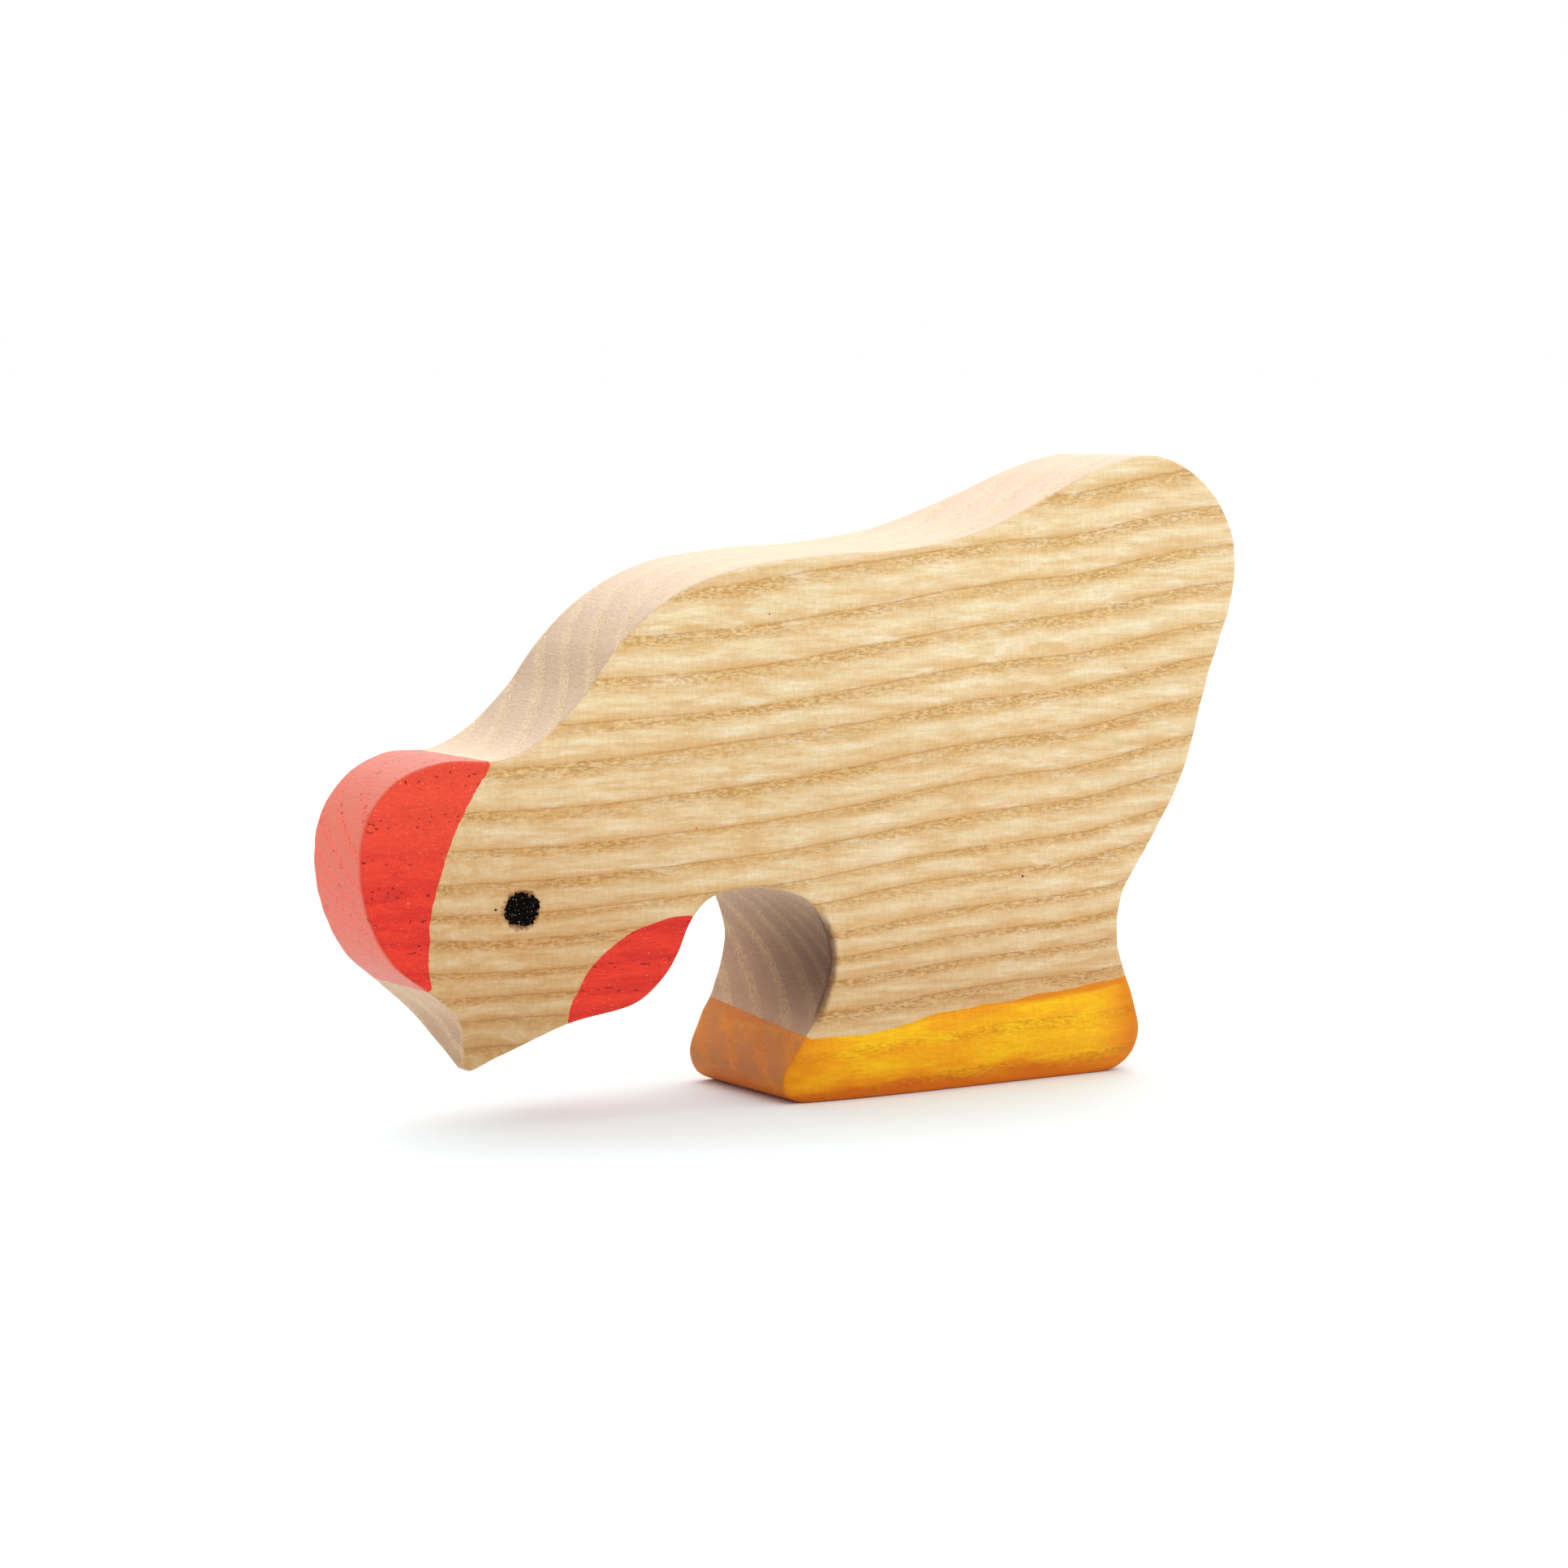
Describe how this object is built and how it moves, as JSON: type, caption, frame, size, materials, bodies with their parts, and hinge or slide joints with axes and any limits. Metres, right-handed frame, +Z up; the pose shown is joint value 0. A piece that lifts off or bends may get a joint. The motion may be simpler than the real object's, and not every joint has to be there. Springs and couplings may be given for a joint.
{
  "type": "wooden toy hen",
  "caption": "Small flat-sided wooden toy hen with its head down, red comb and wattle, black eyes and a yellow foot block that it stands on.",
  "frame": {"origin": "On the plane that the hen stands on, under the middle of its length and of its thickness", "axes": "+Z up, +X from the head towards the tail, -Y to the hen's left"},
  "size_m": [0.092, 0.02, 0.0582],
  "materials": {
    "ash_wood": "satin oiled",
    "red_stain": "satin stained",
    "yellow_stain": "satin stained",
    "black_eye": "matte burnt"
  },
  "bodies": {
    "root": {"body": "ash_wood", "comb_coat": "red_stain", "wattle_coat": "red_stain", "foot_coat": "yellow_stain", "eye_left": "black_eye", "eye_right": "black_eye"}
  },
  "joints": []
}
